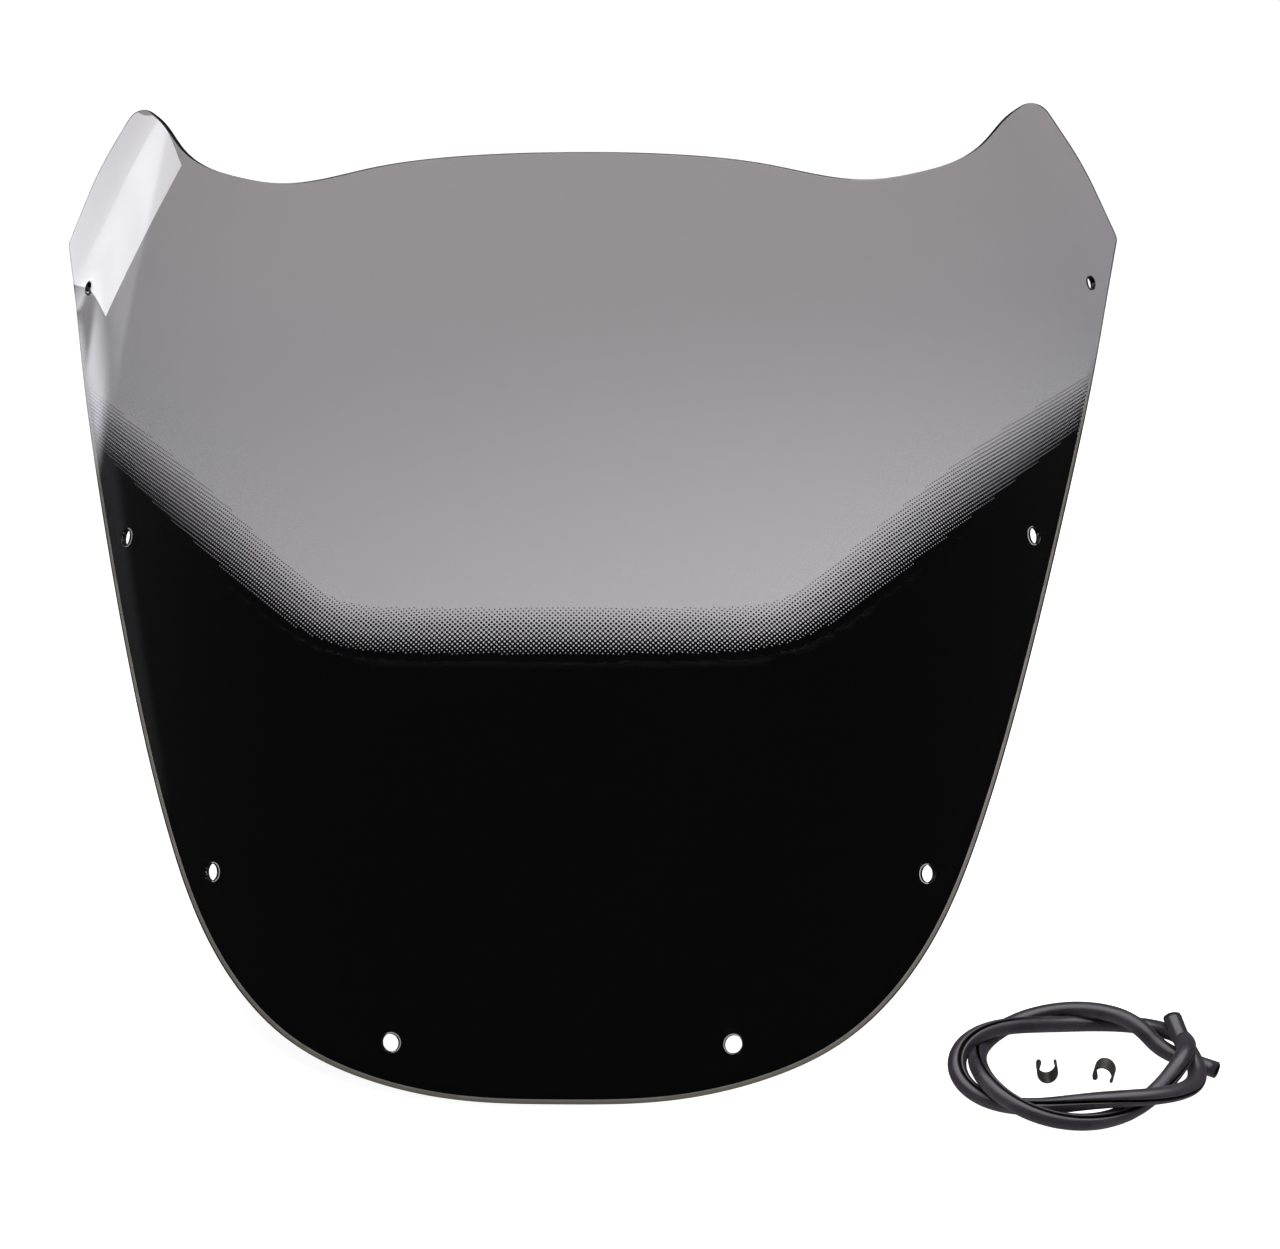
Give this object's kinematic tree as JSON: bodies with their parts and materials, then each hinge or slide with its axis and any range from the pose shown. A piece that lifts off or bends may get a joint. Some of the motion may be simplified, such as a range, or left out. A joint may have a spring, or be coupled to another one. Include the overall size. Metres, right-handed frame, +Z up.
{
  "type": "windshield screen",
  "caption": "Tinted motorcycle windshield screen, double curved with upper side ears, screw holes round its sides, dark inner mask print with a dotted fade, and loose edge trim and clips.",
  "frame": {"origin": "middle of the lower edge of the screen", "axes": "+Z up, +Y toward the rider, +X across the screen; the screen stands at its riding lean"},
  "size_m": [0.5539, 0.4139, 0.3451],
  "materials": {
    "tinted_acrylic": "clear grey tint, polished",
    "ink": "black print seen through the sheet",
    "trim_rubber": "satin",
    "clip_steel": "dark satin"
  },
  "bodies": {
    "screen": {"screen_shell": "tinted_acrylic", "mask_print": "ink"},
    "trim": {"edge_trim_coil": "trim_rubber"},
    "clip_up": {"clip_left": "clip_steel"},
    "clip_down": {"clip_right": "clip_steel"}
  },
  "joints": [
    {"name": "trim_lift", "type": "slide", "parent": "screen", "child": "trim", "axis": [0, 0, 1], "range_m": [0, 0.12]},
    {"name": "clip_left_lift", "type": "slide", "parent": "screen", "child": "clip_up", "axis": [0, 0, 1], "range_m": [0, 0.06]},
    {"name": "clip_right_lift", "type": "slide", "parent": "screen", "child": "clip_down", "axis": [0, 0, 1], "range_m": [0, 0.06]}
  ]
}
